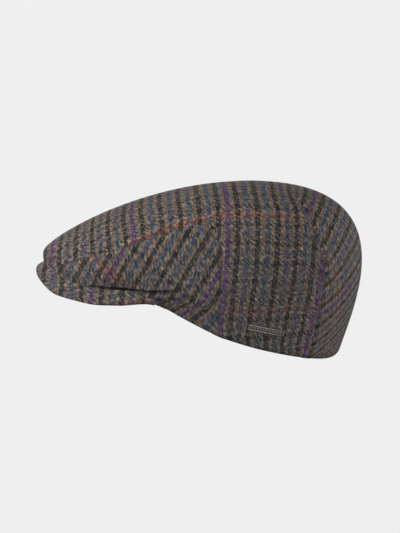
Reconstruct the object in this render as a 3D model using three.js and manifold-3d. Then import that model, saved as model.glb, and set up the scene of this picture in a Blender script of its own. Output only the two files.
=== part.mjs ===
// Flat cap in checked wool tweed, in millimetres with +Z up. It stands as it rests by itself,
// on the two low corners of its peak and on the back of its rim. The front points along -Y and
// the wearer's left along +X. The origin is on the table, under the middle of the cap.
import * as THREE from "three";
import { ParametricGeometry } from "three/addons/geometries/ParametricGeometry.js";
import { mergeVertices } from "three/addons/utils/BufferGeometryUtils.js";
import Module from "manifold-3d";

const wasm = await Module();
wasm.setup();

// Driving dimensions
const CLOTH = 2.2; // wall of the crown and the side panels
const CLEARANCE = 0.3; // between neighbouring pieces
const TEMPLE_Y = -26; // where the ends of the peak meet the rim

// The crown is a shell of upright sections that turn round one axis through its top.
const CROWN = {
  axisY: 40,
  apexZ: 133.2,
  apexSlope: 0.175, // the top rises towards the back
  halfWidth: 93,
  frontReach: 174,
  backReach: 97,
  frontPower: 2.1, // roundness of the plan outline, 2 is an ellipse
  backPower: 2.15,
};

// One row for each section, by its angle from the front in degrees. The belt is the widest
// line, the edge is the lower end, and tuck is how far the edge draws in under the belt.
// The pulls say how long the top runs on level and how long the side stays upright.
const CROWN_SECTIONS = [
  { angle: 0, beltZ: 29, edgeZ: 16, tuck: 5, topPull: 0.555, sidePull: 0.12 },
  { angle: 20, beltZ: 29, edgeZ: 8, tuck: 6, topPull: 0.56, sidePull: 0.25 },
  { angle: 40, beltZ: 38, edgeZ: 15, tuck: 12, topPull: 0.66, sidePull: 0.5 },
  { angle: 60, beltZ: 45, edgeZ: 9.5, tuck: 12, topPull: 0.73, sidePull: 0.68 },
  { angle: 90, beltZ: 50, edgeZ: 1.5, tuck: 9, topPull: 0.76, sidePull: 0.77 },
  { angle: 115, beltZ: 56, edgeZ: 0, tuck: 7, topPull: 0.76, sidePull: 0.8 },
  { angle: 180, beltZ: 56, edgeZ: 0, tuck: 4, topPull: 0.72, sidePull: 0.76 },
];
const BELT_HOLD = 0.4; // share of the drop below the belt where the side stays upright
const EDGE_HOLD = 0.35; // share of the drop and the tuck where it comes in to the edge

// Seam of a side panel as seen from the side, from the peak up along the crown, then down
// to the rim.
const PANEL_SEAM = [
  { y: -117, z: 19 },
  { y: -94, z: 38 },
  { y: -60, z: 57.5 },
  { y: -30, z: 75.5 },
  { y: -7, z: 88 },
  { y: 3, z: 89.5 },
  { y: 10, z: 84 },
  { y: 19, z: 58 },
  { y: 25, z: 35 },
  { y: 33, z: -4 },
];

// Sewn line of the dart at the back, by angle and by place down the section: 0 at the top,
// 1 at the belt and 2 at the edge.
const DART_LINE = [
  { angle: 115, along: 0.38 },
  { angle: 119.5, along: 0.5 },
  { angle: 123.5, along: 0.67 },
  { angle: 128.5, along: 0.79 },
  { angle: 132.3, along: 0.9 },
  { angle: 133.6, along: 1.1 },
  { angle: 135.5, along: 1.55 },
  { angle: 137.7, along: 1.9 },
];
const DART_DEPTH = 0.9;

// The peak lies between its front edge and the front of the head opening.
const PEAK = {
  centreY: 65,
  reach: 200.5,
  halfWidth: 86,
  power: 2.7,
  thickness: 4,
  nose: 1.2, // how far the rounded front edge stands out
  curl: 3, // how late the peak bends down to its edge
};
const HEAD = { centreY: 28, reach: 100, halfWidth: 80, power: 2.3 };
// Heights of the upper face at the front edge and at the rear edge, from the middle out.
const PEAK_SECTIONS = [
  { side: 0, edgeZ: 16.3, rearZ: 40 },
  { side: 0.25, edgeZ: 9.5, rearZ: 38 },
  { side: 0.5, edgeZ: 2, rearZ: 33 },
  { side: 0.7, edgeZ: 2.6, rearZ: 29 },
  { side: 1, edgeZ: 16, rearZ: 27 },
];

// The badge follows the cloth of the left side.
const BADGE = {
  fromAngle: 98.9,
  toAngle: 118.4,
  fromAlong: 1.7,
  toAlong: 1.675,
  halfHeight: 0.05, // as a share of the section, about 2.8 mm
  thickness: 1.2,
  bevel: 0.75, // share of the height that the front face keeps
  side: 0.6, // share of the thickness that stands upright at the rim
};

// Mesh steps
const CROWN_TURNS = 96;
const TOP_STEPS = 10;
const SIDE_STEPS = 6;
const PEAK_TURNS = 48;
const PEAK_STEPS = 8;
const SEAM_STEPS = 60;
const DART_STEPS = 30;
const BADGE_STEPS = 10;
const SLIVER = 0.01; // detail finer than this is dropped

const TWEED = { color: 0x5a5046, roughness: 0.95, metalness: 0 };
const PEWTER = { color: 0x7c7a74, roughness: 0.45, metalness: 0.9 };

// Smooth value of one column of a table, with no overshoot between its rows.
function columnAt(rows, key, name, at) {
  const last = rows.length - 2;
  const k = Math.min(last, Math.max(0, rows.findLastIndex((row) => row[key] <= at)));
  const slope = (i) => (rows[i + 1][name] - rows[i][name]) / (rows[i + 1][key] - rows[i][key]);
  const tangent = (i) => {
    if (i === 0 || i > last) return 0;
    const before = slope(i - 1);
    const after = slope(i);
    return before * after <= 0 ? 0 : (2 * before * after) / (before + after);
  };
  const span = rows[k + 1][key] - rows[k][key];
  const s = (at - rows[k][key]) / span;
  const rise = s * s * (3 - 2 * s);
  const bend = s * (1 - s) * span * ((1 - s) * tangent(k) - s * tangent(k + 1));
  return rows[k][name] + (rows[k + 1][name] - rows[k][name]) * rise + bend;
}

// Distance from the axis to the crown's widest line.
function crownReach(angle) {
  const ahead = Math.cos(THREE.MathUtils.degToRad(angle));
  const aside = Math.abs(Math.sin(THREE.MathUtils.degToRad(angle)));
  const power = ahead > 0 ? CROWN.frontPower : CROWN.backPower;
  const reach = ahead > 0 ? CROWN.frontReach : CROWN.backReach;
  const sum = (aside / CROWN.halfWidth) ** power + (Math.abs(ahead) / reach) ** power;
  return sum ** (-1 / power);
}

// Outer surface of the crown. Along runs from 0 at the top over 1 at the belt to 2 at the edge.
function crownPoint(angle, along) {
  const fromFront = Math.abs(angle > 180 ? angle - 360 : angle);
  const at = (name) => columnAt(CROWN_SECTIONS, "angle", name, fromFront);
  const turn = THREE.MathUtils.degToRad(angle);
  const reach = crownReach(angle);
  const belt = new THREE.Vector2(reach, at("beltZ"));
  const edge = new THREE.Vector2(reach - at("tuck"), at("edgeZ"));
  const apex = new THREE.Vector2(0, CROWN.apexZ);
  const level = at("topPull") * reach;
  const section =
    along <= 1
      ? new THREE.CubicBezierCurve(
          apex,
          new THREE.Vector2(level, apex.y - CROWN.apexSlope * Math.cos(turn) * level),
          new THREE.Vector2(reach, belt.y + at("sidePull") * (apex.y - belt.y)),
          belt,
        )
      : new THREE.CubicBezierCurve(
          belt,
          new THREE.Vector2(reach, belt.y + BELT_HOLD * (edge.y - belt.y)),
          edge.clone().lerp(belt, EDGE_HOLD),
          edge,
        );
  const point = section.getPoint(along <= 1 ? along : along - 1);
  return new THREE.Vector3(
    point.x * Math.sin(turn),
    CROWN.axisY - point.x * Math.cos(turn),
    point.y,
  );
}

// Unit normal of the crown, taken a little off the two ends of its section.
function crownNormal(angle, along) {
  const turn = 1;
  const step = 0.02;
  const inside = THREE.MathUtils.clamp(along, 0.03, 1.98);
  const round = crownPoint(angle + turn, inside).sub(crownPoint(angle - turn, inside));
  const down = crownPoint(angle, inside + step).sub(crownPoint(angle, inside - step));
  return down.cross(round).normalize();
}

// Point at a height over the crown's outer surface, or under it.
function crownLay(angle, along, height) {
  return crownPoint(angle, along).addScaledVector(crownNormal(angle, along), height);
}

// A closed solid through loops of points, each end drawn together at its middle.
function loft(loops) {
  const middle = (loop) => {
    const sum = loop.reduce((total, point) => total.add(point), new THREE.Vector3());
    return loop.map(() => sum.clone().divideScalar(loop.length));
  };
  const rows = [middle(loops[0]), ...loops, middle(loops.at(-1))];
  const count = loops[0].length;
  const place = (u, v, target) => {
    const row = rows[Math.round(v * (rows.length - 1))];
    target.copy(row[Math.round(u * count) % count]);
  };
  return new ParametricGeometry(place, count, rows.length - 1);
}

// A geometry as a solid that can be cut.
function solid(geometry) {
  geometry.deleteAttribute("normal");
  geometry.deleteAttribute("uv");
  const merged = mergeVertices(geometry, 1e-4);
  const triangles = [];
  for (let i = 0; i < merged.index.count; i += 3) {
    const [a, b, c] = merged.index.array.slice(i, i + 3);
    if (a !== b && b !== c && c !== a) triangles.push(a, b, c);
  }
  return new wasm.Manifold(
    new wasm.Mesh({
      numProp: 3,
      vertProperties: merged.attributes.position.array,
      triVerts: new Uint32Array(triangles),
    }),
  );
}

// A cut solid as a named mesh, without the slivers that cuts leave.
function piece(name, cut, look) {
  const mesh = cut.simplify(SLIVER).getMesh();
  const geometry = new THREE.BufferGeometry();
  geometry.setAttribute("position", new THREE.BufferAttribute(mesh.vertProperties, 3));
  geometry.setIndex(new THREE.BufferAttribute(mesh.triVerts, 1));
  geometry.computeVertexNormals();
  const made = new THREE.Mesh(geometry, new THREE.MeshStandardMaterial(look));
  made.name = name;
  return made;
}

// The whole hollow shell of the crown and the side panels, before its seams are cut.
function crownShell() {
  const ring = (place) =>
    Array.from({ length: CROWN_TURNS }, (_, i) => place(360 - (360 * i) / CROWN_TURNS));
  const steps = [];
  for (let i = 0; i <= TOP_STEPS; i++) steps.push(i / TOP_STEPS);
  for (let i = 1; i <= SIDE_STEPS; i++) steps.push(1 + i / SIDE_STEPS);
  const outer = steps.map((along) => ring((angle) => crownPoint(angle, along)));
  const inner = steps.slice(0, -1).map((along) =>
    ring((angle) => crownLay(along > 0 ? angle : 0, along, -CLOTH)),
  );
  const rim = ring((angle) => {
    const edge = crownPoint(angle, 2);
    const inward = new THREE.Vector3(-edge.x, CROWN.axisY - edge.y, 0).normalize();
    return edge.addScaledVector(inward, CLOTH);
  });
  return loft([...outer, rim, ...inner.reverse()]);
}

// Point of an oval round the head or the peak, from side -1 at one temple to 1 at the other.
function ovalPoint(oval, side) {
  const end = Math.acos(((oval.centreY - TEMPLE_Y) / oval.reach) ** (oval.power / 2));
  const turn = side * end;
  const aside = Math.abs(Math.sin(turn)) ** (2 / oval.power);
  const ahead = Math.cos(turn) ** (2 / oval.power);
  return new THREE.Vector3(
    Math.sign(side) * oval.halfWidth * aside,
    oval.centreY - oval.reach * ahead,
    0,
  );
}

// Upper face of the peak: across runs from 0 at the head opening to 1 at the front edge.
function peakPoint(side, across) {
  const edgeZ = columnAt(PEAK_SECTIONS, "side", "edgeZ", Math.abs(side));
  const rearZ = columnAt(PEAK_SECTIONS, "side", "rearZ", Math.abs(side));
  const point = ovalPoint(HEAD, side).lerp(ovalPoint(PEAK, side), across);
  const bent = Math.sign(across) * Math.abs(across) ** PEAK.curl;
  point.z = rearZ + (edgeZ - rearZ) * bent;
  return point;
}

// Direction square to the upper face within its upright section, pointing down.
function peakDown(side, across) {
  const step = 0.02;
  const run = peakPoint(side, across + step).sub(peakPoint(side, across - step)).normalize();
  const level = Math.hypot(run.x, run.y);
  return new THREE.Vector3((run.x * run.z) / level, (run.y * run.z) / level, -level);
}

// Sections of the peak from temple to temple.
const peakSides = Array.from({ length: PEAK_TURNS + 1 }, (_, i) => (2 * i) / PEAK_TURNS - 1);
const peakSteps = Array.from({ length: PEAK_STEPS + 1 }, (_, i) => i / PEAK_STEPS);

// The peak is flattened on the table where its corners rest.
function peakBody() {
  const loops = peakSides.map((side) => {
    const upper = peakSteps.map((across) => peakPoint(side, across));
    const lower = upper.map((point, i) =>
      point.clone().addScaledVector(peakDown(side, peakSteps[i]), PEAK.thickness),
    );
    const outward = upper.at(-1).clone().sub(upper.at(-2)).normalize();
    const nose = upper.at(-1).clone().lerp(lower.at(-1), 0.5);
    nose.addScaledVector(outward, PEAK.nose);
    const loop = [...upper, nose, ...lower.reverse()];
    loop.forEach((point) => (point.z = Math.max(0, point.z)));
    return loop;
  });
  return loft(loops);
}

// The space over which the crown's front edge ends: the peak, and all that lies below it.
function peakSeat() {
  const deep = -40;
  const past = [-0.25, ...peakSteps, 1.2, 1.4]; // on over the head opening and past the edge
  const beyondTemple = 1.004;
  const loops = peakSides.map((place) => {
    const side = place * beyondTemple;
    const upper = past.map((across) =>
      peakPoint(side, across).addScaledVector(peakDown(side, across), -CLEARANCE),
    );
    const lower = upper.map((point) => new THREE.Vector3(point.x, point.y, deep));
    return [...upper, ...lower.reverse()];
  });
  return loft(loops);
}

// A block through one side of the cap, with the outline of its side panel moved out by grow.
function panelBlock(direction, grow) {
  const points = PANEL_SEAM.map(({ y, z }) => new THREE.Vector2(y, z));
  const seam = new THREE.SplineCurve(points);
  const outline = Array.from({ length: SEAM_STEPS + 1 }, (_, i) => {
    const tangent = seam.getTangent(i / SEAM_STEPS);
    const outward = new THREE.Vector2(-tangent.y, tangent.x);
    return seam.getPoint(i / SEAM_STEPS).addScaledVector(outward, grow);
  });
  const below = -20;
  const near = 20;
  const far = 120;
  outline.push(new THREE.Vector2(outline.at(-1).x, below));
  outline.push(new THREE.Vector2(outline[0].x, below));
  const block = new THREE.ExtrudeGeometry(new THREE.Shape(outline), {
    depth: far - near,
    bevelEnabled: false,
  });
  const across = new THREE.Matrix4().makeBasis(
    new THREE.Vector3(0, 1, 0),
    new THREE.Vector3(0, 0, 1),
    new THREE.Vector3(1, 0, 0),
  );
  block.applyMatrix4(across);
  block.translate(direction > 0 ? near : -far, 0, 0);
  return block;
}

// A round bead along the dart's sewn line, which cuts its groove.
function dartBead(direction) {
  const line = new THREE.CatmullRomCurve3(
    DART_LINE.map(({ angle, along }) =>
      crownPoint(angle, along).multiply(new THREE.Vector3(direction, 1, 1)),
    ),
  );
  const section = new THREE.Shape().absarc(0, 0, DART_DEPTH, 0, 2 * Math.PI);
  return new THREE.ExtrudeGeometry(section, {
    steps: DART_STEPS,
    extrudePath: line,
    curveSegments: 4,
  });
}

// A bent plate that lies on the cloth.
function badgePlate() {
  const low = CLEARANCE;
  const shoulder = CLEARANCE + BADGE.thickness * BADGE.side;
  const high = CLEARANCE + BADGE.thickness;
  const loops = Array.from({ length: BADGE_STEPS + 1 }, (_, i) => {
    const share = i / BADGE_STEPS;
    const angle = THREE.MathUtils.lerp(BADGE.fromAngle, BADGE.toAngle, share);
    const along = THREE.MathUtils.lerp(BADGE.fromAlong, BADGE.toAlong, share);
    const half = BADGE.halfHeight;
    return [
      crownLay(angle, along - half, low),
      crownLay(angle, along - half, shoulder),
      crownLay(angle, along - half * BADGE.bevel, high),
      crownLay(angle, along + half * BADGE.bevel, high),
      crownLay(angle, along + half, shoulder),
      crownLay(angle, along + half, low),
    ];
  });
  return loft(loops);
}

// Assembly
const shell = solid(crownShell()).subtract(solid(peakSeat()));
let crown = shell;
const cap = new THREE.Group();
for (const [name, direction] of [["left", 1], ["right", -1]]) {
  const panel = shell.intersect(solid(panelBlock(direction, -CLEARANCE / 2)));
  crown = crown.subtract(solid(panelBlock(direction, CLEARANCE / 2)));
  crown = crown.subtract(solid(dartBead(direction)));
  cap.add(piece("side_panel_" + name, panel, TWEED));
}
cap.add(piece("crown", crown, TWEED));
cap.add(piece("peak", solid(peakBody()), TWEED));
cap.add(piece("badge", solid(badgePlate()), PEWTER));

// The origin lies under the middle of the cap.
const box = new THREE.Box3().setFromObject(cap);
cap.position.y = -(box.min.y + box.max.y) / 2;

const part = new THREE.Group();
part.add(cap);
export default part;
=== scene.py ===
"""Flat cap in checked wool tweed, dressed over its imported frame.

The tables hold millimetres and degrees. The front of the cap points along -Y and the wearer's
left along +X. A place on the crown is an angle from the front, and how far down its section it
lies: 0 at the top, 1 at the widest line and 2 at the lower edge.
"""

import math

import bmesh
import bpy
import numpy as np
from bpy.props import FloatProperty, FloatVectorProperty, PointerProperty
from mathutils import Matrix, Vector
from mathutils.bvhtree import BVHTree
from mathutils.kdtree import KDTree


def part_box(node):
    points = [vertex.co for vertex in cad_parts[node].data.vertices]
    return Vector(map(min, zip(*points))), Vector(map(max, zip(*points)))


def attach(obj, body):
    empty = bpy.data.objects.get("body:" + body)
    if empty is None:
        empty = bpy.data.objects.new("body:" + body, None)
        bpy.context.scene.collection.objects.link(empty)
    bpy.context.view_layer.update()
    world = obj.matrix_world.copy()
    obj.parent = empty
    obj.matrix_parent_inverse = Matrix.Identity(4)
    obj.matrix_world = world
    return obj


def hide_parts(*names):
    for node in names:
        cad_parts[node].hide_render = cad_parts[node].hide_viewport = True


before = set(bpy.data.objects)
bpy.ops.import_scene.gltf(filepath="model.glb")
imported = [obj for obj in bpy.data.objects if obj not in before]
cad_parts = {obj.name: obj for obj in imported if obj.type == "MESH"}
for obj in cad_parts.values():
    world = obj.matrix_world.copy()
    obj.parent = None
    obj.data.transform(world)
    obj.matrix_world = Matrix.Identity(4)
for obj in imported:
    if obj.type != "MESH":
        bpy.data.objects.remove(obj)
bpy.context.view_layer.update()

bl_info = {
    "name": "Tweed Flat Cap",
    "version": (1, 0, 0),
    "blender": (4, 5, 0),
    "location": "View3D > Sidebar > Flat Cap",
    "description": "Sews a checked tweed flat cap over its frame",
    "category": "Add Mesh",
}

MM = 0.001


def rows_of(names, *values):
    """Rows of a table, from the names of its columns and the values of each row."""
    return [dict(zip(names.split(), row)) for row in values]


# The crown's sections, as in the part's own source.
CROWN = {
    "axis_y": 40,
    "apex_z": 133.2,
    "apex_slope": 0.175,
    "half_width": 93,
    "front_reach": 174,
    "back_reach": 97,
    "front_power": 2.1,
    "back_power": 2.15,
}
CROWN_SECTIONS = rows_of(
    "angle belt_z edge_z tuck top_pull side_pull",
    (0, 29, 16, 5, 0.555, 0.12),
    (20, 29, 8, 6, 0.56, 0.25),
    (40, 38, 15, 12, 0.66, 0.5),
    (60, 45, 9.5, 12, 0.73, 0.68),
    (90, 50, 1.5, 9, 0.76, 0.77),
    (115, 56, 0, 7, 0.76, 0.8),
    (180, 56, 0, 4, 0.72, 0.76),
)
BELT_HOLD = 0.4
EDGE_HOLD = 0.35

# Seam of a side panel in side view, from the peak up along the crown, then down to the rim.
PANEL_SEAM = rows_of(
    "y z",
    (-117, 19),
    (-94, 36.3),
    (-60, 56.3),
    (-30, 75.5),
    (-7, 88),
    (4, 90.5),
    (12, 86.5),
    (20, 64),
    (24.5, 42.5),
    (33, -4),
)

# Sewn line of the dart at the back.
DART_LINE = rows_of(
    "angle along",
    (115, 0.38),
    (119.5, 0.5),
    (123.5, 0.67),
    (128.5, 0.79),
    (132.3, 0.9),
    (133.6, 1.1),
    (135.5, 1.55),
    (138.2, 2.0),
)

# Slit at the upper end of each dart, where its fold opens.
SLIT = {"from_along": 0.8, "to_along": 0.935}
# Near the upper end of the dart the cloth of both sides runs together.
DART_BLEND = {"along": 0.08, "angle": 40, "share": 0.5}

# Fold of the side panel that runs on behind the end of the peak.
CREASE_LINE = rows_of(
    "angle along",
    (42, 1.69),
    (46, 1.655),
    (50, 1.58),
    (54, 1.505),
    (59, 1.41),
    (64, 1.325),
)

# Sunk lines: depth in seam depths, width, and over what length each sinks and rises again.
SEWING = {
    "seam": {"depth": 1, "width": 1.3, "start": 0, "end": 0},
    "dart": {"depth": 1.4, "width": 1.4, "start": 12, "end": 0},
    "slit": {"depth": 5, "width": 0.8, "start": 5, "end": 3},
    "crease": {"depth": 6, "width": 1.1, "start": 3, "end": 26},
}
# The cloth beside a sunk line puffs up, some widths away from it, and puckers.
PUFF = {"height": 0.35, "away": 3, "width": 1.6}
PUCKER = {"height": 0.16, "fade": 6, "turn": 0.62}

# The hem is rounder at the back, and the rim of a panel is drawn up at the end of the peak.
HEM_BACK = {"rounder": 1.4, "slope": 2.8, "start": 1.7}
RIM_LIFT = {"along": 0.066, "angle": 9}
# Where the side panel rolls in over the peak, up to some degrees before the temple.
ROLL = {"from_angle": 26.5, "ease": 4, "before_temple": 5, "peak_sink": 0.6, "sink_over": 1.5}

# Distance between the rows of a mesh, which lie closer at the edges of a patch.
CROWN_STEP = 2.2
PANEL_STEPS = (1.4, 1)

PEAK = {"centre_y": 65, "reach": 200.5, "half_width": 86, "power": 2.7, "thickness": 4, "curl": 3}
HEAD = {"centre_y": 28, "reach": 100, "half_width": 80, "power": 2.3}
TEMPLE_Y = -26
PEAK_SECTIONS = rows_of(
    "side edge_z rear_z",
    (0, 16.6, 40),
    (0.25, 10.4, 35.5),
    (0.5, 3.4, 26),
    (0.7, 4.3, 22.5),
    (0.85, 9.4, 25.5),
    (1, 17.2, 27),
)

BADGE = {
    "from_angle": 98.9,
    "to_angle": 118.4,
    "from_along": 1.672,
    "to_along": 1.67,
    "half_height": 0.053,
    "lift": 0.3,
    "thickness": 1.2,
    "frame_slope": 0.7,
    "frame_width": 1.0,
    "field_slope": 0.3,
    "field_depth": 0.5,
    "margin": 1.7,
    "lozenges": 11,
    "lozenge_share": 0.46,
    "lozenge_reach": 1.35,
    "lozenge_slope": 0.3,
    "lozenge_height": 0.3,
}

# The cloth leans forward on the crown: its stripes lie in planes across the cap.
GRAIN_LEAN = 13.7
CHECK_THREADS = 80
# Run of numbered stripes at distances from the crown's middle line: whole numbers are purple.
MAIN_NUMBERS = (0, 0.4, 1, 2, 2.6, 3)
MAIN_STRIPES = rows_of(
    "far runs",
    (0, (-113.5, -86.7, -46.5, 29.5, 80, 108)),
    (50, (-112.5, -84.3, -44.5, 34, 83, 110)),
    (80, (-112, -81.1, -39.8, 37.6, 87, 118)),
    (97, (-112, -79.9, -38.2, 38.6, 87.7, 115.8)),
    (118, (-112, -79, -37, 38.6, 87.1, 114.4)),
    (140, (-112, -79, -37, 36.8, 85.4, 111.5)),
    (165, (-112, -79, -37, 34.6, 81, 107)),
    (190, (-112, -79, -37, 32.6, 76.8, 102.3)),
)
STRIPE_STEP = 76
# Distances of the two rust lines from the middle line, where a third one lies.
MAIN_WEFT = rows_of(
    "at rust next",
    (-60, 87, 171),
    (0, 89.3, 172),
    (20, 90, 170.5),
    (40, 87.6, 168),
    (64, 87.4, 167),
    (78, 86.5, 166),
    (91, 84.5, 159.5),
    (101, 78.5, 153.5),
    (113, 75, 147),
)
# Behind the darts the stripes fan out from a line below the cap.
FAN = {"run": 44.5, "rise": -79.5, "bow": 2.5, "bow_at": 65}
FAN_NUMBERS = (2, 3, 3.4, 4, 5, 6)
FAN_STRIPES = rows_of(
    "far turns",
    (0, (-4, 18.6, 27.2, 38.6, 56.4, 75)),
    (25, (-4, 18.8, 27.8, 39.3, 57, 75.5)),
    (47, (-4, 19.3, 28.5, 40.3, 58.7, 77.5)),
    (65, (-4, 20.6, 29.9, 41, 59.3, 78)),
    (78, (-4, 22.2, 31.2, 40.7, 59, 77.5)),
    (90, (-4, 22.5, 31.3, 40.2, 58.5, 77)),
)
FAN_WEFT = rows_of(
    "at rust next",
    (20, 96, 179),
    (27, 92, 175),
    (30, 84, 167),
    (34, 75, 158),
    (40, 65, 148),
    (45, 57, 140),
    (60, 50, 133),
)
PANEL_GRAIN = {
    "turn": 30,
    "stripe": 3.2,
    "weft_turn": 40,
    "weft": 1.7,
    "weft_stretch": 0.9,
    "curl_below": 25,
    "curl": 0.52,
    "curl_power": 1.18,
    "spread": 0.05,
}
PEAK_GRAIN = {
    "stripe": -76,
    "stretch": 0.89,
    "rear_z": 40,
    "weft_fall": 0.9,
    "weft": 94.3,
    "weft_slope": 0.25,
    "weft_stretch": 0.81,
}

# Where yarns of the tweed cross, and the painted shade low on the cap, measured by a level that rises
# towards the front, so that the shade climbs higher at the back.
TWEED = {
    "rust_on_ground": 0.25,
    "purple_hides": 0.5,
    "purple_keeps": 0.8,
    "shade_lean": 0.5,
    "shade_slope": 2.0,
    "sway_scale": 170.0,
}

# Lights and camera stand round the cap by degrees from its left, and above the floor.
LIGHTS = rows_of(
    "name azimuth elevation power",
    ("front", -80, 10, 56.5),
    ("side", 10, 10, 26),
    ("back", 110, 10, 36),
    ("far", -170, 8, 18),
)
LIGHT = {"size": 1.4, "distance": 2.3, "aim": (0, 0, 0.06)}
CAMERA = {"azimuth": 2, "elevation": 5, "aim": (0, -0.0005, 0.048)}
FLOOR = {"radius": 3.0, "z": -0.0003}


def table(rows, *names):
    """Columns of a table, side by side."""
    return np.array([[row[name] for name in names] for row in rows], float)


def column(rows, key, name, at):
    """Smooth value of one column of a table, with no overshoot between its rows."""
    x, y = table(rows, key, name).T
    slope = np.diff(y) / np.diff(x)
    before, after = slope[:-1], slope[1:]
    same = before * after > 0
    tangent = np.zeros(len(x))
    tangent[1:-1][same] = 2 * before[same] * after[same] / (before + after)[same]
    k = np.clip(np.searchsorted(x, at, "right") - 1, 0, len(x) - 2)
    span = x[k + 1] - x[k]
    s = (at - x[k]) / span
    bend = s * (1 - s) * span * ((1 - s) * tangent[k] - s * tangent[k + 1])
    return y[k] + (y[k + 1] - y[k]) * s * s * (3 - 2 * s) + bend


def straight(rows, key, name, at):
    """Value of one column of a table, in straight lines between its rows."""
    return np.interp(at, *table(rows, key, name).T)


def bezier(a, b, c, d, s):
    r = 1 - s
    return r**3 * a + 3 * r * r * s * b + 3 * r * s * s * c + s**3 * d


def spline(points):
    """Points of a smooth curve through the given ones, twelve for each span."""
    p = np.vstack([points[:1], points, points[-1:]])
    s = np.linspace(0, 1, 12, endpoint=False)[:, None]
    spans = []
    for a, b, c, d in zip(p, p[1:], p[2:], p[3:]):
        ease_in = (c - a) / 2
        ease_out = (d - b) / 2
        spans.append(bezier(b, b + ease_in / 3, c - ease_out / 3, c, s))
    return np.vstack(spans + [points[-1:]])


def crown_reach(turn):
    """Distance from the axis to the crown's widest line."""
    ahead = np.cos(turn)
    power = np.where(ahead > 0, CROWN["front_power"], CROWN["back_power"])
    reach = np.where(ahead > 0, CROWN["front_reach"], CROWN["back_reach"])
    total = (np.abs(np.sin(turn)) / CROWN["half_width"]) ** power + (np.abs(ahead) / reach) ** power
    return total ** (-1 / power)


def crown_point(angle, along):
    """Outer surface of the crown."""
    angle, along = np.broadcast_arrays(np.asarray(angle, float), np.asarray(along, float))
    from_front = np.abs(np.where(angle > 180, angle - 360, angle))
    belt, edge, tuck, top, side = (
        column(CROWN_SECTIONS, "angle", name, from_front)
        for name in ("belt_z", "edge_z", "tuck", "top_pull", "side_pull")
    )
    turn = np.radians(angle)
    reach = crown_reach(turn)
    apex = CROWN["apex_z"]
    level = top * reach
    s = np.clip(along, 0, 1)
    out = bezier(0, level, reach, reach, s)
    fall = CROWN["apex_slope"] * np.cos(turn) * level
    up = bezier(apex, apex - fall, belt + side * (apex - belt), belt, s)
    t = np.clip(along - 1, 0, 1)
    low_out = bezier(reach, reach, reach - tuck * (1 - EDGE_HOLD), reach - tuck, t)
    drop = edge - belt
    low_up = bezier(belt, belt + BELT_HOLD * drop, edge - EDGE_HOLD * drop, edge, t)
    out = np.where(along > 1, low_out, out)
    up = np.where(along > 1, low_up, up)
    return np.stack([out * np.sin(turn), CROWN["axis_y"] - out * np.cos(turn), up], -1)


def unit(vectors):
    return vectors / np.linalg.norm(vectors, axis=-1, keepdims=True)


def crown_normal(angle, along):
    """Unit normal of the crown, taken a little off the two ends of its section."""
    inside = np.clip(along, 0.03, 1.98)
    round_it = crown_point(angle + 1, inside) - crown_point(angle - 1, inside)
    down = crown_point(angle, inside + 0.02) - crown_point(angle, inside - 0.02)
    return unit(np.cross(down, round_it))


def oval_point(oval, side):
    """Point of an oval round the head or the peak, from -1 at one temple to 1 at the other."""
    ahead = (oval["centre_y"] - TEMPLE_Y) / oval["reach"]
    turn = side * math.acos(ahead ** (oval["power"] / 2))
    x = np.sign(side) * oval["half_width"] * np.abs(np.sin(turn)) ** (2 / oval["power"])
    y = oval["centre_y"] - oval["reach"] * np.cos(turn) ** (2 / oval["power"])
    return np.stack([x, y], -1)


def peak_point(side, across):
    """Upper face of the peak, from 0 at the head opening to 1 at the front edge."""
    side, across = np.broadcast_arrays(np.asarray(side, float), np.asarray(across, float))
    edge = column(PEAK_SECTIONS, "side", "edge_z", np.abs(side))
    rear = column(PEAK_SECTIONS, "side", "rear_z", np.abs(side))
    share = across[..., None]
    plan = oval_point(HEAD, side) * (1 - share) + oval_point(PEAK, side) * share
    bent = np.sign(across) * np.abs(across) ** PEAK["curl"]
    return np.concatenate([plan, (rear + (edge - rear) * bent)[..., None]], -1)


def peak_frame(side, across):
    """Directions out to the edge along the upper face of the peak, and down square to it."""
    run = unit(peak_point(side, across + 0.02) - peak_point(side, across - 0.02))
    level = np.hypot(run[..., 0], run[..., 1])
    slope = run[..., 2] / level
    return run, np.stack([run[..., 0] * slope, run[..., 1] * slope, -level], -1)


# The part is shifted to the middle of its box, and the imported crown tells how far.
SHIFT_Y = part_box("crown")[1].y / MM - CROWN["axis_y"] - CROWN["back_reach"]


def first_below(values, at):
    """Where each row of values first falls below zero, between the places of its columns."""
    k = np.clip(np.argmax(values < 0, axis=-1), 1, None)
    rows = np.arange(len(values))
    high, low = values[rows, k - 1], values[rows, k]
    return at[k - 1] + (at[k] - at[k - 1]) * high / (high - low)


def angle_of(points):
    """Angle from the front at which points lie, the same at the left and at the right."""
    return np.degrees(np.arctan2(np.abs(points[..., 0]), CROWN["axis_y"] - points[..., 1]))


def quads(start, rows, columns):
    """Faces of a grid, from the number of its first point."""
    number = start + np.arange(rows * columns).reshape(rows, columns)
    corners = [number[:-1, :-1], number[1:, :-1], number[1:, 1:], number[:-1, 1:]]
    return np.stack(corners, -1).reshape(-1, 4)


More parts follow.
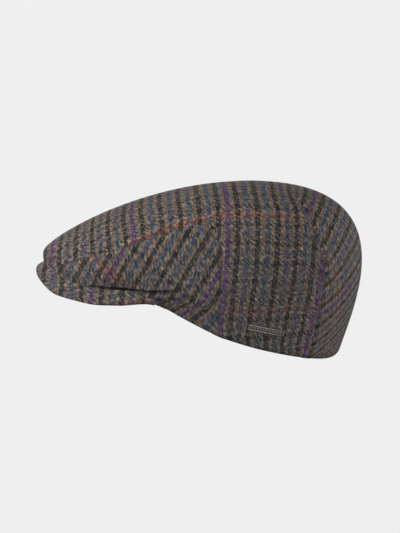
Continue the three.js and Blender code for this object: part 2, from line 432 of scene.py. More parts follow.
class PanelLines:
    """Edges of the left side panel on the crown: its seam, the peak below it and the rim."""

    def __init__(self):
        seam = spline(table(PANEL_SEAM, "y", "z"))
        top = int(np.argmax(seam[:, 1]))
        self.front = seam[: top + 1]
        self.rear = seam[top:][::-1]
        upper = peak_point(np.linspace(-1, 1, 161)[:, None], np.linspace(0, 1.25, 61))
        self.temple = angle_of(upper[-1, 50])
        faces = quads(0, *upper.shape[:2])
        self.peak_top = BVHTree.FromPolygons(upper.reshape(-1, 3).tolist(), faces.tolist())
        angles = np.linspace(0, 75, 301)
        from_top = crown_point(angles, self.seam(angles))[:, 1] - seam[top, 0]
        self.corner = angles[np.argmin(np.abs(from_top))]
        self.angles = angles
        self.peak_line = self.meet(angles)
        self.tip = angles[np.argmax(self.peak_line > self.seam(angles))]

    def seam(self, angle):
        """How far down each section its front seam lies."""
        along = np.linspace(0.2, 1.95, 400)
        points = crown_point(np.asarray(angle)[:, None], along)
        return first_below(points[..., 2] - np.interp(points[..., 1], *self.front.T), along)

    def rear_angle(self, along):
        """Angle of the rear seam at each place down the section."""
        angle = np.linspace(55, 95, 200)
        points = crown_point(angle, np.asarray(along)[:, None])
        rear_y = np.interp(points[..., 2], self.rear[:, 1], self.rear[:, 0])
        return first_below(rear_y - points[..., 1], angle)

    def seam_line(self):
        """Even points along the whole seam."""
        angle = np.linspace(self.tip, self.corner, 120)
        along = self.seam(angle)
        down = np.linspace(along[-1], 2, 120)
        rear = crown_point(self.rear_angle(down), down)
        return even(np.vstack([crown_point(angle, along), rear[1:]]))

    def rim(self, angle):
        """How far down each section the panel's rim lies."""
        from_temple = (angle - self.temple) / RIM_LIFT["angle"]
        return 2 - RIM_LIFT["along"] * np.exp(-(from_temple**2))

    def peak_edge(self, angle):
        """How far down each section the peak begins, from the places already found."""
        return np.interp(angle, self.angles, self.peak_line)

    def meet(self, angle):
        """How far down each section the crown meets the peak."""
        along = np.linspace(1.0, 2.0, 120)
        points = crown_point(np.asarray(angle)[:, None], along)
        height = points[..., 2].copy()
        for place in np.ndindex(height.shape):
            x, y, z = points[place]
            hit = self.peak_top.ray_cast(Vector((x, y, -50)), Vector((0, 0, 1)))[0]
            height[place] = z - hit.z if hit else 1.0
        height[:, -1] = np.minimum(height[:, -1], -1e-6)
        return first_below(height, along)


def graded(length, step, fine_start=True, fine_end=True):
    """Fractions from 0 to 1 for steps over a length, closer together at the named ends."""
    fine = np.array([0.5, 1.0, 1.6, 2.4, 3.4, 4.6])
    start = fine[-1] + step if fine_start else step
    end = length - (fine[-1] + step if fine_end else step)
    places = [0.0]
    places += list(fine) if fine_start else []
    places += list(np.linspace(start, end, max(2, round((end - start) / step))))
    places += list(length - fine[::-1]) if fine_end else []
    return np.array(places + [length]) / length


def grain(points):
    """Run and rise of points along the slanted grain of the crown."""
    lean = math.radians(GRAIN_LEAN)
    y = points[..., 1] + SHIFT_Y
    z = points[..., 2]
    return y * math.cos(lean) + z * math.sin(lean), z * math.cos(lean) - y * math.sin(lean)


def fan_turn(points):
    """Turn of points round the line that the stripes behind the darts fan out from."""
    run, rise = grain(points)
    turn = np.degrees(np.arctan2(run - FAN["run"], rise - FAN["rise"]))
    return turn + FAN["bow"] * (points[..., 0] / FAN["bow_at"]) ** 4


def from_middle(angle, along, level_of):
    """Signed distance over the crown from its middle line, along the line of equal level."""
    points = crown_point(angle, along)
    level = level_of(points)
    total = np.zeros(level.shape)
    last = np.full(points.shape, np.nan)
    angles = np.linspace(0, 180, 181)
    for ring in np.linspace(0.02, 1.98, 70):
        ring_level = np.maximum.accumulate(level_of(crown_point(angles, ring)))
        at = np.interp(level, ring_level, angles, left=np.nan, right=np.nan)
        here = crown_point(np.nan_to_num(at), ring)
        valid = ~np.isnan(at) & (ring < along)
        step = np.linalg.norm(here - last, axis=-1)
        total = np.where(valid, total + np.where(np.isnan(step), here[..., 0], step), total)
        last = np.where(valid[..., None], here, last)
    mirrored = np.abs(points) * [1, 0, 0] + points * [0, 1, 1]
    step = np.linalg.norm(mirrored - last, axis=-1)
    total += np.where(np.isnan(step), np.abs(points[..., 0]), step)
    return total * np.sign(points[..., 0] + 1e-9)


def stripe_number(place, lines, numbers):
    """Number of stripe repeats at a place, from the places of numbered lines, first to last."""
    number = np.full(np.shape(place), float(numbers[0]))
    for k in range(len(lines) - 1):
        share = (place - lines[k]) / (lines[k + 1] - lines[k])
        number += (numbers[k + 1] - numbers[k]) * np.clip(share, 0, 1)
    return number


def lines_at(rows, name, far):
    """Places of the lines of a table at distances from the middle line."""
    at = [row["far"] for row in rows]
    return [np.interp(far, at, line) for line in zip(*(row[name] for row in rows))]


def weft_number(rows, at, down):
    """Number of weft repeats from the middle line, negative at the right."""
    far = np.abs(down)
    rust = straight(rows, "at", "rust", at)
    beyond = (far - rust) / (straight(rows, "at", "next", at) - rust)
    return np.sign(down) * np.where(far < rust, far / rust, 1 + beyond)


def main_cloth(angle, along, cloth):
    """Cloth coordinates of the top and the sides of the crown."""
    run, _ = grain(crown_point(angle, along))
    down = from_middle(angle, along, lambda points: grain(points)[0])
    lines = lines_at(MAIN_STRIPES, "runs", np.abs(down))
    lines = [lines[0] - STRIPE_STEP] + lines + [lines[-1] + STRIPE_STEP]
    stripe = stripe_number(run, lines, (MAIN_NUMBERS[0] - 1, *MAIN_NUMBERS, MAIN_NUMBERS[-1] + 1))
    weft = weft_number(MAIN_WEFT, run, down)
    return np.stack([stripe * cloth.warp_repeat, weft * cloth.weft_repeat], -1) / MM


def back_cloth(angle, along, cloth):
    """Cloth coordinates of the tongue behind the darts."""
    turn = fan_turn(crown_point(angle, along))
    down = from_middle(angle, along, fan_turn)
    stripe = stripe_number(turn, lines_at(FAN_STRIPES, "turns", np.abs(down)), FAN_NUMBERS)
    weft = weft_number(FAN_WEFT, turn, down)
    return np.stack([stripe * cloth.warp_repeat, weft * cloth.weft_repeat], -1) / MM


def panel_cloth(points):
    """Cloth coordinates of the left side panel, which is cut on its own grain."""
    run, rise = grain(points)
    turn = math.radians(PANEL_GRAIN["turn"])
    across = run * math.cos(turn) - rise * math.sin(turn) - PANEL_GRAIN["stripe"]
    low = np.maximum(PANEL_GRAIN["curl_below"] - rise, 0)
    across += PANEL_GRAIN["curl"] * low ** PANEL_GRAIN["curl_power"]
    across /= 1 + PANEL_GRAIN["spread"] * low
    turn = math.radians(PANEL_GRAIN["weft_turn"])
    down = -run * math.sin(turn) - rise * math.cos(turn) - PANEL_GRAIN["weft"]
    down *= PANEL_GRAIN["weft_stretch"]
    return np.stack([across, down], -1)


def peak_cloth(points):
    """Cloth coordinates of the peak, with its stripes from side to side."""
    run, _ = grain(points)
    across = (run - PEAK_GRAIN["stripe"]) * PEAK_GRAIN["stretch"]
    far = np.abs(points[..., 0]) + PEAK_GRAIN["weft_fall"] * (PEAK_GRAIN["rear_z"] - points[..., 2])
    far += PEAK_GRAIN["weft_slope"] * run - PEAK_GRAIN["weft"]
    far *= PEAK_GRAIN["weft_stretch"]
    return np.stack([across, far * np.sign(points[..., 0] + 1e-9)], -1)


def side_length(angle):
    """Straight length of each section from its widest line to its lower edge."""
    return np.linalg.norm(crown_point(angle, 2.0) - crown_point(angle, 1.0), axis=-1)


def turned_hem(angle, along, points, radius, rim=2.0):
    """Points near the rim drawn in round the fold of the hem."""
    turn = np.radians(angle)
    back = np.clip(-HEM_BACK["slope"] * np.cos(turn) - HEM_BACK["start"], 0, 1)
    radius = radius * (1 + HEM_BACK["rounder"] * back)
    depth = np.clip(1 - (rim - along) * side_length(angle) / radius, 0, 1)
    inward = np.stack([-np.sin(turn), np.cos(turn), np.zeros_like(turn)], -1)
    return points + (radius * (1 - np.sqrt(1 - depth**2)))[..., None] * inward


def put(name, data):
    """A new object in the scene."""
    made = bpy.data.objects.new(name, data)
    bpy.context.scene.collection.objects.link(made)
    return made


def sew(name, patches):
    """One mesh of patches that meet, each a grid of points and a grid of cloth coordinates."""
    points, cloth, faces = [], [], []
    start = 0
    for grid, coordinates in patches:
        rows, columns = grid.shape[:2]
        faces.append(quads(start, rows, columns))
        points.append(grid.reshape(-1, 3))
        cloth.append(coordinates.reshape(-1, 2))
        start += rows * columns
    points = (np.vstack(points) + [0, SHIFT_Y, 0]) * MM
    faces = np.vstack(faces)
    mesh = bpy.data.meshes.new(name)
    mesh.from_pydata(points.tolist(), [], faces.tolist())
    layer = mesh.uv_layers.new(name="Cloth")
    layer.data.foreach_set("uv", (np.vstack(cloth)[faces.ravel()] * MM).ravel())
    joined = bmesh.new()
    joined.from_mesh(mesh)
    bmesh.ops.remove_doubles(joined, verts=joined.verts, dist=2e-5)
    joined.to_mesh(mesh)
    joined.free()
    mesh.shade_smooth()
    return put(name, mesh)


def press_in(piece, lines):
    """Sinks sewn lines into a piece: each line has its points, its depth at them and its width."""
    mesh = piece.data
    count = len(mesh.vertices)
    places = np.zeros(count * 3)
    normals = np.zeros(count * 3)
    mesh.vertices.foreach_get("co", places)
    mesh.vertex_normals.foreach_get("vector", normals)
    places = places.reshape(-1, 3)
    moved = np.zeros(count)
    for points, depth, width in lines:
        tree = KDTree(len(points))
        for i, point in enumerate((points + [0, SHIFT_Y, 0]) * MM):
            tree.insert(point, i)
        tree.balance()
        near = [tree.find(place)[1:] for place in places]
        index = np.array([i for i, _ in near])
        away = np.array([d for _, d in near]) / MM
        valley = np.exp(-((away / width) ** 2))
        beside = (away - PUFF["away"] * width) / (PUFF["width"] * width)
        puff = PUFF["height"] * np.exp(-(beside**2))
        pucker = PUCKER["height"] * np.exp(-away / PUCKER["fade"]) * np.sin(index * PUCKER["turn"])
        moved += depth[index] * (puff + pucker - valley)
    places += normals.reshape(-1, 3) * moved[:, None] * MM
    mesh.vertices.foreach_set("co", places.ravel())
    mesh.update()


def thicken(piece, thickness):
    """Gives a sewn sheet its thickness, inwards."""
    wall = piece.modifiers.new("Cloth", "SOLIDIFY")
    wall.thickness = thickness
    wall.offset = -1
    shown = piece.evaluated_get(bpy.context.evaluated_depsgraph_get())
    made = bpy.data.meshes.new_from_object(shown)
    piece.modifiers.clear()
    sheet = piece.data
    piece.data = made
    bpy.data.meshes.remove(sheet)
    made.name = piece.name


def seat(piece, nodes, material):
    """Puts a finished piece in place of its part of the frame."""
    piece.data.materials.clear()
    piece.data.materials.append(material)
    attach(piece, "root")
    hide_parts(*nodes)


def even(points, step=1.0):
    """The same line with points at even steps."""
    length = np.concatenate([[0], np.cumsum(np.linalg.norm(np.diff(points, axis=0), axis=1))])
    places = np.linspace(0, length[-1], max(2, round(length[-1] / step)))
    return np.stack([np.interp(places, length, points[:, i]) for i in range(3)], -1)


def crown_line(rows):
    """Even points of a line that a table lays on the left of the crown."""
    place = spline(table(rows, "angle", "along"))
    return even(crown_point(place[:, 0], place[:, 1]))


def dart_angle(along):
    """Angle of the dart at each place down the section, straight up from its top end."""
    place = spline(table(DART_LINE, "angle", "along"))
    return np.interp(along, place[:, 1], place[:, 0])


def sewn_lines(lines, cloth):
    """The sunk lines of both sides, each with its points, its depth at them and its width."""
    slit = np.linspace(SLIT["from_along"], SLIT["to_along"], 40)
    laid = {
        "seam": lines.seam_line(),
        "dart": crown_line(DART_LINE),
        "slit": even(crown_point(dart_angle(slit), slit)),
        "crease": crown_line(CREASE_LINE),
    }
    made = []
    for name, points in laid.items():
        row = SEWING[name]
        place = np.arange(len(points), dtype=float)
        depth = np.full(len(points), row["depth"] * cloth.seam_depth / MM)
        if row["start"]:
            depth *= np.clip(place / row["start"], 0, 1)
        if row["end"]:
            depth *= np.clip(place[::-1] / row["end"], 0, 1)
        for mirror in (1, -1):
            made.append((points * [mirror, 1, 1], depth, row["width"]))
    return made


def crown_patches(lines, cloth):
    """Grids of the crown: the front with the top, both sides back to the darts, and the tongue."""
    tuck = 0.1
    reach = graded(150, CROWN_STEP, fine_start=False)
    half = np.linspace(0, lines.corner, 56)
    half_end = np.minimum(lines.seam(half), np.minimum(lines.meet(half) + tuck, 2))
    corner = half_end[-1]
    angle = np.concatenate([-half[:0:-1], half])
    end = np.concatenate([half_end[:0:-1], half_end])
    angle, along = np.broadcast_arrays(angle, reach[:, None] * end)
    patches = [(crown_point(angle, along), main_cloth(angle, along, cloth))]

    rows = np.concatenate([reach * corner, corner + (2 - corner) * graded(95, CROWN_STEP)[1:]])
    rear = lines.rear_angle(np.maximum(rows, corner))
    start = np.where(rows > corner, rear, lines.corner)
    dart = dart_angle(rows)
    share = graded(70, CROWN_STEP)
    blend_end = DART_LINE[0]["along"] + DART_BLEND["along"]
    above = np.clip((blend_end - rows) / (2 * DART_BLEND["along"]), 0, 1)[:, None]

    def add_patch(from_angle, to_angle, steps, own, other):
        """A grid with its own lie of the cloth, which takes up the other one near the dart's top."""
        angle = from_angle[:, None] + (to_angle - from_angle)[:, None] * steps
        along = np.broadcast_to(rows[:, None], angle.shape)
        points = turned_hem(angle, along, crown_point(angle, along), cloth.hem_radius / MM)
        away = np.abs(np.where(angle > 180, 360 - angle, angle) - dart[:, None])
        near = DART_BLEND["share"] * above * np.clip(1 - away / DART_BLEND["angle"], 0, 1) ** 2
        near = near[..., None]
        mixed = own(angle, along, cloth) * (1 - near) + other(angle, along, cloth) * near
        patches.append((points, mixed))

    add_patch(start, dart, share, main_cloth, back_cloth)
    add_patch(dart, 360 - dart, graded(140, CROWN_STEP), back_cloth, main_cloth)
    add_patch(360 - dart, 360 - start, 1 - share[::-1], main_cloth, back_cloth)
    return patches


def roll_share(lines, angle):
    """How far the side panel is rolled in over the peak: not in front, nor near the peak's end."""
    started = np.clip((angle - ROLL["from_angle"]) / ROLL["ease"], 0, 1)
    left = lines.temple - ROLL["before_temple"] - angle
    return started * np.clip(left / ROLL["ease"], 0, 1)


def rolled_lip(lines, angle, along, points, radius, lift):
    """Points of a side panel rolled in just above the peak, and led on under it."""
    drop = side_length(angle)
    start = lines.peak_edge(angle) - (radius + lift) / drop
    past = np.maximum(along - start, 0) * drop
    bend = np.minimum(past / radius, math.pi / 2)
    inward = radius * (1 - np.cos(bend)) + np.maximum(past - radius * math.pi / 2, 0)
    base = crown_point(angle, np.minimum(along, start))
    down = unit(crown_point(angle, start + 0.05) - crown_point(angle, start))
    rolled = base + (radius * np.sin(bend))[..., None] * down
    rolled -= inward[..., None] * crown_normal(angle, start)
    return points + (rolled - points) * roll_share(lines, angle)[..., None]


def panel_patch(lines, cloth, mirror):
    """Grid of a side panel between its seam, the peak and the rim, with its point at the front."""
    tuck = 0.22
    p = graded(125, PANEL_STEPS[0], fine_start=False)
    q = graded(75, PANEL_STEPS[1])[:, None]
    top_angle = lines.tip + (lines.corner - lines.tip) * p
    top_along = np.minimum(lines.seam(top_angle), lines.meet(top_angle))
    right_along = top_along[-1] + (2 - top_along[-1]) * q[:, 0]
    right_angle = lines.rear_angle(right_along)
    right_angle += (lines.corner - right_angle[0]) * np.clip(1 - q[:, 0] * 12, 0, 1)
    low_angle = lines.tip + (right_angle[-1] - lines.tip) * p
    low_rim = lines.rim(low_angle)
    low_along = np.minimum(lines.meet(low_angle) + tuck, low_rim)
    low_along += (low_rim - low_along) * np.clip((low_angle - lines.temple + 8) / 3, 0, 1)

    def fill(top, low, right):
        corner = right[0] + (right[-1] - right[0]) * q
        return (1 - q) * top + q * low + p * (right[:, None] - corner)

    angle = fill(top_angle, low_angle, right_angle)
    along = np.clip(fill(top_along, low_along, right_along), 0, 2)
    points = crown_point(angle, along)
    coordinates = panel_cloth(points)
    behind = np.clip((angle - lines.temple) / 4, 0, 1)[..., None]
    hemmed = turned_hem(angle, along, points, cloth.hem_radius / MM, lines.rim(angle))
    points = points + (hemmed - points) * behind
    points = rolled_lip(lines, angle, along, points, cloth.roll_radius / MM, cloth.roll_lift / MM)
    if mirror:
        return points[:, ::-1] * [-1, 1, 1], coordinates[:, ::-1] * [1, -1]
    return points, coordinates


def peak_patch(lines):
    """Grid round the peak: over its upper face, round its edge and back along its lower face."""
    side = np.linspace(-1, 1, 241)
    hidden = np.linspace(0, 0.5, 12, endpoint=False)
    out = np.concatenate([hidden, np.linspace(0.5, 1, 52)])[:, None]
    upper = peak_point(side, out)
    run, down = peak_frame(side, out)
    lower = upper + PEAK["thickness"] * down
    angle = angle_of(upper)
    edge = crown_point(angle, lines.peak_edge(angle))
    inside = np.hypot(edge[..., 0], edge[..., 1] - CROWN["axis_y"])
    inside -= np.hypot(upper[..., 0], upper[..., 1] - CROWN["axis_y"])
    sink = ROLL["peak_sink"] * PEAK["thickness"] * roll_share(lines, angle)
    upper[..., 2] -= sink * np.clip(inside / ROLL["sink_over"], 0, 1)
    radius = PEAK["thickness"] / 2
    turn = np.radians(np.arange(20, 180, 20))[:, None, None]
    middle = (upper[-1] + lower[-1]) / 2
    nose = middle + radius * (np.sin(turn) * run[-1] - np.cos(turn) * down[-1])
    points = np.concatenate([upper, nose, lower[::-1], upper[:1]])
    coordinates = peak_cloth(points)
    points[..., 2] = np.maximum(points[..., 2], 0)
    return points, coordinates


def eased(value):
    """A step from 0 to 1 with soft ends."""
    share = np.clip(value, 0, 1)
    return share * share * (3 - 2 * share)


def badge_patches():
    """Grids of the badge's face and back, with the height of its relief as a cloth coordinate."""
    a = np.linspace(0, 1, 181)
    b = np.linspace(-1, 1, 41)[:, None]
    angle = BADGE["from_angle"] + (BADGE["to_angle"] - BADGE["from_angle"]) * a
    middle = BADGE["from_along"] + (BADGE["to_along"] - BADGE["from_along"]) * a
    angle, along = np.broadcast_arrays(angle, middle + BADGE["half_height"] * b)
    base = crown_point(angle, along)
    out = crown_normal(angle, along)
    length = np.linalg.norm(base[20, -1] - base[20, 0])
    height = np.linalg.norm(base[-1, 90] - base[0, 90])
    x = (a - 0.5) * length
    y = b * height / 2
    edge = np.minimum(length / 2 - np.abs(x), height / 2 - np.abs(y))
    field = eased((edge - BADGE["frame_width"]) / BADGE["field_slope"])
    raised = eased(edge / BADGE["frame_slope"]) - BADGE["field_depth"] * field
    pitch = (length - 2 * BADGE["margin"]) / BADGE["lozenges"]
    from_centre = np.abs((x / pitch + BADGE["lozenges"] / 2) % 1 - 0.5)
    lozenge = 1 - from_centre / BADGE["lozenge_share"] - np.abs(y) / BADGE["lozenge_reach"]
    inside = np.abs(x) < length / 2 - BADGE["margin"]
    raised += BADGE["lozenge_height"] * eased(lozenge / BADGE["lozenge_slope"]) * inside
    face = base + out * (BADGE["lift"] + BADGE["thickness"] * raised)[..., None]
    back = base + out * BADGE["lift"]
    heights = np.stack([raised, np.zeros_like(raised)], -1)
    return [(face, heights), (back[:, ::-1], np.zeros_like(heights))]


class Wiring:
    """Adds nodes to one tree. An input takes a socket or a plain value."""

    def __init__(self, tree):
        self.tree = tree

    def add(self, kind, inputs=None, **settings):
        node = self.tree.nodes.new(kind)
        node.location = (190 * (len(self.tree.nodes) % 12), -260 * (len(self.tree.nodes) // 12))
        for name, value in settings.items():
            setattr(node, name, value)
        for key, value in (inputs or {}).items():
            if isinstance(value, bpy.types.NodeSocket):
                self.tree.links.new(value, node.inputs[key])
            else:
                node.inputs[key].default_value = value
        return node

    def math(self, operation, *values):
        return self.add("ShaderNodeMath", dict(enumerate(values)), operation=operation).outputs[0]

    def mix(self, share, first, second, blend="MIX"):
        inputs = {0: share, 6: first, 7: second}
        return self.add("ShaderNodeMix", inputs, data_type="RGBA", blend_type=blend).outputs[2]

    def vector(self, operation, inputs):
        return self.add("ShaderNodeVectorMath", inputs, operation=operation).outputs[0]

    def ramp(self, value, low, high, start=0.0, end=1.0):
        """Leads a value from one range over to another."""
        inputs = {0: value, 1: low, 2: high, 3: start, 4: end}
        return self.add("ShaderNodeMapRange", inputs).outputs[0]

    def parts(self, vector):
        return self.add("ShaderNodeSeparateXYZ", {0: vector}).outputs

    def use(self, group, inputs):
        return self.add("ShaderNodeGroup", inputs, node_tree=group).outputs

    def send(self, sockets, values):
        """Joins each named value to the socket of its name."""
        for name, value in values.items():
            self.tree.links.new(value, sockets[name])


def new_group(name, inputs, outputs):
    """An empty shader group with named sockets, and the sockets inside it."""
    tree = bpy.data.node_groups.new(name, "ShaderNodeTree")
    for socket, kind in inputs.items():
        tree.interface.new_socket(socket, in_out="INPUT", socket_type="NodeSocket" + kind)
    for socket, kind in outputs.items():
        tree.interface.new_socket(socket, in_out="OUTPUT", socket_type="NodeSocket" + kind)
    wiring = Wiring(tree)
    return tree, wiring, wiring.add("NodeGroupInput").outputs, wiring.add("NodeGroupOutput").inputs


def twill_group():
    """Two-up two-down twill: numbers of the threads, how far the warp is on top, and the relief."""
    tree, w, given, result = new_group(
        "Twill Weave",
        {
            "Cloth": "Vector",
            **dict.fromkeys(("Warp Pitch", "Weft Pitch", "Sway", "Warp Cover"), "Float"),
        },
        dict.fromkeys(("Warp", "Weft", "Warp Up", "Height"), "Float"),
    )
    noise = {"Vector": given["Cloth"], "Scale": TWEED["sway_scale"], "Detail": 2.0}
    noise = w.add("ShaderNodeTexNoise", noise).outputs["Color"]
    centred = w.vector("SUBTRACT", {0: noise, 1: (0.5, 0.5, 0.5)})
    sway = w.vector("SCALE", {0: centred, "Scale": given["Sway"]})
    place = w.parts(w.vector("ADD", {0: given["Cloth"], 1: sway}))
    warp = w.math("DIVIDE", place["X"], given["Warp Pitch"])
    weft = w.math("DIVIDE", place["Y"], given["Weft Pitch"])

    def thread(across, along, crest):
        """Height of a thread: round across itself, and over two threads then under two."""
        number = w.math("FLOOR", across)
        past_crest = w.math("SUBTRACT", w.math("SUBTRACT", along, number), crest)
        wave = w.math("COSINE", w.math("MULTIPLY", past_crest, math.pi / 2))
        half_round = w.math("SINE", w.math("MULTIPLY", w.math("FRACT", across), math.pi))
        return w.math("ADD", wave, half_round)

    over = thread(warp, weft, 0.0)
    under = w.math("SUBTRACT", thread(weft, warp, 3.0), given["Warp Cover"])
    up = w.ramp(w.math("SUBTRACT", over, under), -1.5, 1.5)
    height = w.math("MULTIPLY", w.math("MAXIMUM", over, under), 0.5)
    w.send(result, {"Warp": warp, "Weft": weft, "Warp Up": up, "Height": height})
    return tree


def yarn_group():
    """Colour of a thread by its number: bands of four by turns, with an accent each repeat."""
    tree, w, given, result = new_group(
        "Yarn Stripes",
        {"Thread": "Float", **dict.fromkeys(("Ground", "Dark", "Second", "Accent"), "Color")},
        {"Color": "Color", "Is Ground": "Float", "Is Accent": "Float"},
    )
    band = w.math("FLOOR", w.math("DIVIDE", w.math("ADD", given["Thread"], 2.0), 4.0))
    is_ground = w.math("GREATER_THAN", w.math("FLOORED_MODULO", band, 2.0), 0.5)
    number = w.math("FLOOR", w.math("DIVIDE", band, 2.0))
    is_dark = w.math("GREATER_THAN", w.math("FLOORED_MODULO", number, 2.0), 0.5)
    is_accent = w.math("LESS_THAN", w.math("FLOORED_MODULO", number, CHECK_THREADS / 8), 0.5)
    is_accent = w.math("MULTIPLY", is_accent, w.math("SUBTRACT", 1.0, is_ground))
    stripe = w.mix(is_dark, given["Second"], given["Dark"])
    stripe = w.mix(is_ground, stripe, given["Ground"])
    colour = w.mix(is_accent, stripe, given["Accent"])
    w.send(result, {"Color": colour, "Is Ground": is_ground, "Is Accent": is_accent})
    return tree


def wool_group():
    """Unevenness of milled wool: the tint of its blotches and threads, stray flecks and its nap."""
    tree, w, given, result = new_group(
        "Wool Yarn",
        dict.fromkeys(("Warp", "Weft", "Mottle", "Hue"), "Float"),
        {"Tint": "Color", "Fleck": "Float", "Nap": "Float"},
    )

    across_twill = w.math("SUBTRACT", given["Warp"], given["Weft"])
    along_twill = w.math("ADD", given["Warp"], given["Weft"])

    def spots(across, along, detail):
        """Noise over the cloth, in blotches of so many threads across the twill and along it."""
        place = {0: w.math("DIVIDE", across_twill, across), 1: w.math("DIVIDE", along_twill, along)}
        noise = {"Vector": w.add("ShaderNodeCombineXYZ", place).outputs[0], "Scale": 1.0, "Detail": detail}
        return w.add("ShaderNodeTexNoise", noise).outputs

    blotch = spots(3.1, 4.8, 2.0)
    number = w.math("FLOOR", given["Weft"])
    row = w.add("ShaderNodeTexWhiteNoise", {"W": number}, noise_dimensions="1D").outputs["Value"]
    row = w.math("MULTIPLY_ADD", row, 0.08, -0.04)
    uneven = w.math("ADD", w.math("SUBTRACT", blotch[0], 0.5), row)
    light = w.math("POWER", given["Mottle"], uneven)
    stain = w.mix(1.0, spots(4.0, 5.0, 1.0)[1], (2.0, 2.0, 2.0, 1.0), "MULTIPLY")
    hue = w.mix(given["Hue"], (1.0, 1.0, 1.0, 1.0), stain)
    tint = w.mix(1.0, hue, light, "MULTIPLY")
    fleck = w.ramp(spots(1.5, 4.0, 0.0)[0], 0.72, 0.82)
    w.send(result, {"Tint": tint, "Fleck": fleck, "Nap": blotch[0]})
    return tree


def blend(first, second, share):
    """A colour part of the way from one to another."""
    return tuple(a + (b - a) * share for a, b in zip(first, second)) + (1.0,)


def new_material(name):
    """A material, its wiring and its shader."""
    made = bpy.data.materials.new(name)
    made.use_nodes = True
    return made, Wiring(made.node_tree), made.node_tree.nodes["Principled BSDF"]


def opaque(colour):
    return (*colour, 1.0)


def tweed_colour(w, cloth, weave):
    """Colours of both yarns where they cross, and where the warp is purple."""
    yarn = yarn_group()
    shared = {"Ground": opaque(cloth.tan), "Dark": opaque(cloth.black)}
    second = {"Second": opaque(cloth.blue), "Accent": opaque(cloth.purple)}
    warp = w.use(yarn, {"Thread": weave["Warp"], **shared, **second})
    second = {
        "Second": blend(cloth.blue, cloth.tan, cloth.weft_fade),
        "Accent": opaque(cloth.rust),
    }
    weft = w.use(yarn, {"Thread": weave["Weft"], **shared, **second})
    rust = w.math("MULTIPLY_ADD", warp["Is Ground"], TWEED["rust_on_ground"], cloth.accent_show)
    rust = w.math("MULTIPLY", weft["Is Accent"], rust)
    hidden = -TWEED["purple_hides"] * cloth.weft_show
    shown = w.math("MULTIPLY_ADD", warp["Is Accent"], hidden, cloth.weft_show)
    under = w.math("SUBTRACT", 1.0, weave["Warp Up"])
    weft_share = w.math("MULTIPLY_ADD", under, shown, rust)
    return w.mix(weft_share, warp["Color"], weft["Color"]), warp["Is Accent"]


def low_shaded_colour(w, cloth, colour, is_purple):
    """The colour with painted shade, darker and greyer low on the cap and towards the back, the purple
    yarns less.
    """
    where = w.parts(w.add("ShaderNodeTexCoord").outputs["Object"])
    level = w.math("MULTIPLY_ADD", where["Y"], -TWEED["shade_lean"], where["Z"])
    level = w.math("MINIMUM", level, w.math("MULTIPLY", where["Z"], TWEED["shade_slope"]))
    # Painted shade: below the shade height the colour is mixed with a dark grey and loses as much of its
    # saturation.
    low_shade = w.ramp(level, cloth.shade_height, cloth.shade_height / 3, 0.0, cloth.low_shade_share)
    open_to_it = w.math("MULTIPLY_ADD", is_purple, -TWEED["purple_keeps"], 1.0)
    low_shade = w.math("MULTIPLY", low_shade, open_to_it)
    colour = w.mix(low_shade, colour, opaque(cloth.low_shade_colour))
    shade_greyed = {"Color": colour, "Saturation": w.math("SUBTRACT", 1.0, low_shade)}
    return w.add("ShaderNodeHueSaturation", shade_greyed).outputs[0]


def tweed_material(cloth):
    """Wool tweed in a check of tan, black and slate blue, with purple and rust lines."""
    if "Tweed" in bpy.data.materials:
        return bpy.data.materials["Tweed"]
    made, w, shader = new_material("Tweed")
    weave = {
        "Cloth": w.add("ShaderNodeUVMap", uv_map="Cloth").outputs[0],
        "Warp Pitch": cloth.warp_repeat / CHECK_THREADS,
        "Weft Pitch": cloth.weft_repeat / CHECK_THREADS,
        "Sway": cloth.sway,
        "Warp Cover": cloth.warp_cover,
    }
    weave = w.use(twill_group(), weave)
    colour, is_purple = tweed_colour(w, cloth, weave)
    wool = {"Mottle": cloth.mottle, "Hue": cloth.hue}
    wool = w.use(wool_group(), {"Warp": weave["Warp"], "Weft": weave["Weft"], **wool})
    # Painted shade and light of the weave: by the height of the weave, the colour is darkened in the gaps
    # between the threads and lightened on their crests.
    depth = w.math("MULTIPLY_ADD", weave["Height"], 0.5, 0.6)
    colour = w.mix(1.0, colour, w.mix(1.0, wool["Tint"], depth, "MULTIPLY"), "MULTIPLY")
    colour = w.mix(wool["Fleck"], colour, opaque(cloth.fleck))
    colour = low_shaded_colour(w, cloth, colour, is_purple)
    relief = w.math("ADD", weave["Height"], w.math("MULTIPLY", wool["Nap"], 0.8))
    bump = w.add("ShaderNodeBump", {"Height": relief, "Strength": 0.6, "Distance": 0.0005})
    w.send(shader.inputs, {"Base Color": colour, "Normal": bump.outputs[0]})
    shader.inputs["Roughness"].default_value = 0.95
    shader.inputs["Specular IOR Level"].default_value = 0.15
    return made


def pewter_material(metal):
    """Dull cast pewter, dark in its hollows and rubbed bright on its ridges."""
    made, w, shader = new_material("Pewter")
    relief = w.parts(w.add("ShaderNodeUVMap", uv_map="Cloth").outputs[0])["X"]
    place = w.add("ShaderNodeTexCoord").outputs["Object"]
    cast = {"Vector": place, "Scale": 1800.0, "Detail": 3.0}
    cast = w.add("ShaderNodeTexNoise", cast).outputs[0]
    height = w.math("DIVIDE", relief, MM)
    rubbed = w.ramp(w.math("ADD", height, w.math("MULTIPLY_ADD", cast, 0.4, -0.2)), 0.5, 0.95)
    bump = w.add("ShaderNodeBump", {"Height": cast, "Strength": 0.25, "Distance": 0.0002})
    look = {
        "Base Color": w.mix(rubbed, opaque(metal.hollow), opaque(metal.ridge)),
        "Roughness": w.ramp(rubbed, 0.0, 1.0, 0.6, 0.38),
        "Normal": bump.outputs[0],
    }
    w.send(shader.inputs, look)
    shader.inputs["Metallic"].default_value = 0.85
    return made


def length_setting(name, description, default):
    return FloatProperty(name=name, description=description, default=default, unit="LENGTH")


def share_setting(name, description, default):
    return FloatProperty(name=name, description=description, default=default, subtype="FACTOR")


def colour_setting(name, description, default):
    return FloatVectorProperty(name=name, description=description, default=default, subtype="COLOR")


